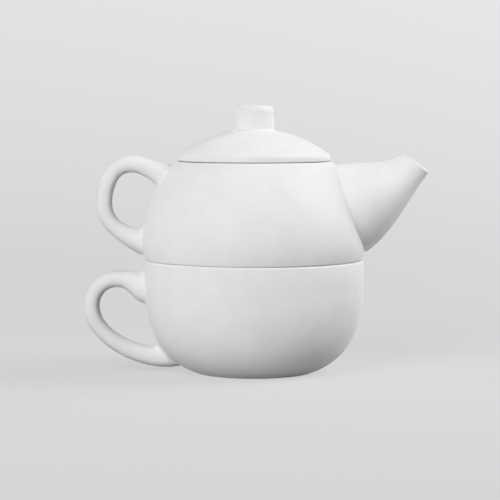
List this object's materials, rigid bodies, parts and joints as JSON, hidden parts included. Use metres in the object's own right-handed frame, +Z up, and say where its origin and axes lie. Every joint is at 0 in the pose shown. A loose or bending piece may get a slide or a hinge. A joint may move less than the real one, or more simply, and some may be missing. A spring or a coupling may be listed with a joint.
{
  "type": "tea for one set",
  "caption": "Stacked tea set for one in unglazed white earthenware: a round cup with a handle, a teapot that rests on its rim, and a domed lid with a knob.",
  "frame": {"origin": "middle of the cup's foot ring, on the plane that the set stands on", "axes": "+Z up along the middle axis of cup, teapot and lid, +X towards the spout, both handles towards -X"},
  "size_m": [0.18, 0.1168, 0.1395],
  "materials": {
    "bisque_cup": "matte",
    "bisque_teapot": "matte",
    "bisque_lid": "matte"
  },
  "bodies": {
    "root": {"cup": "bisque_cup", "teapot": "bisque_teapot", "lid": "bisque_lid"}
  },
  "joints": []
}
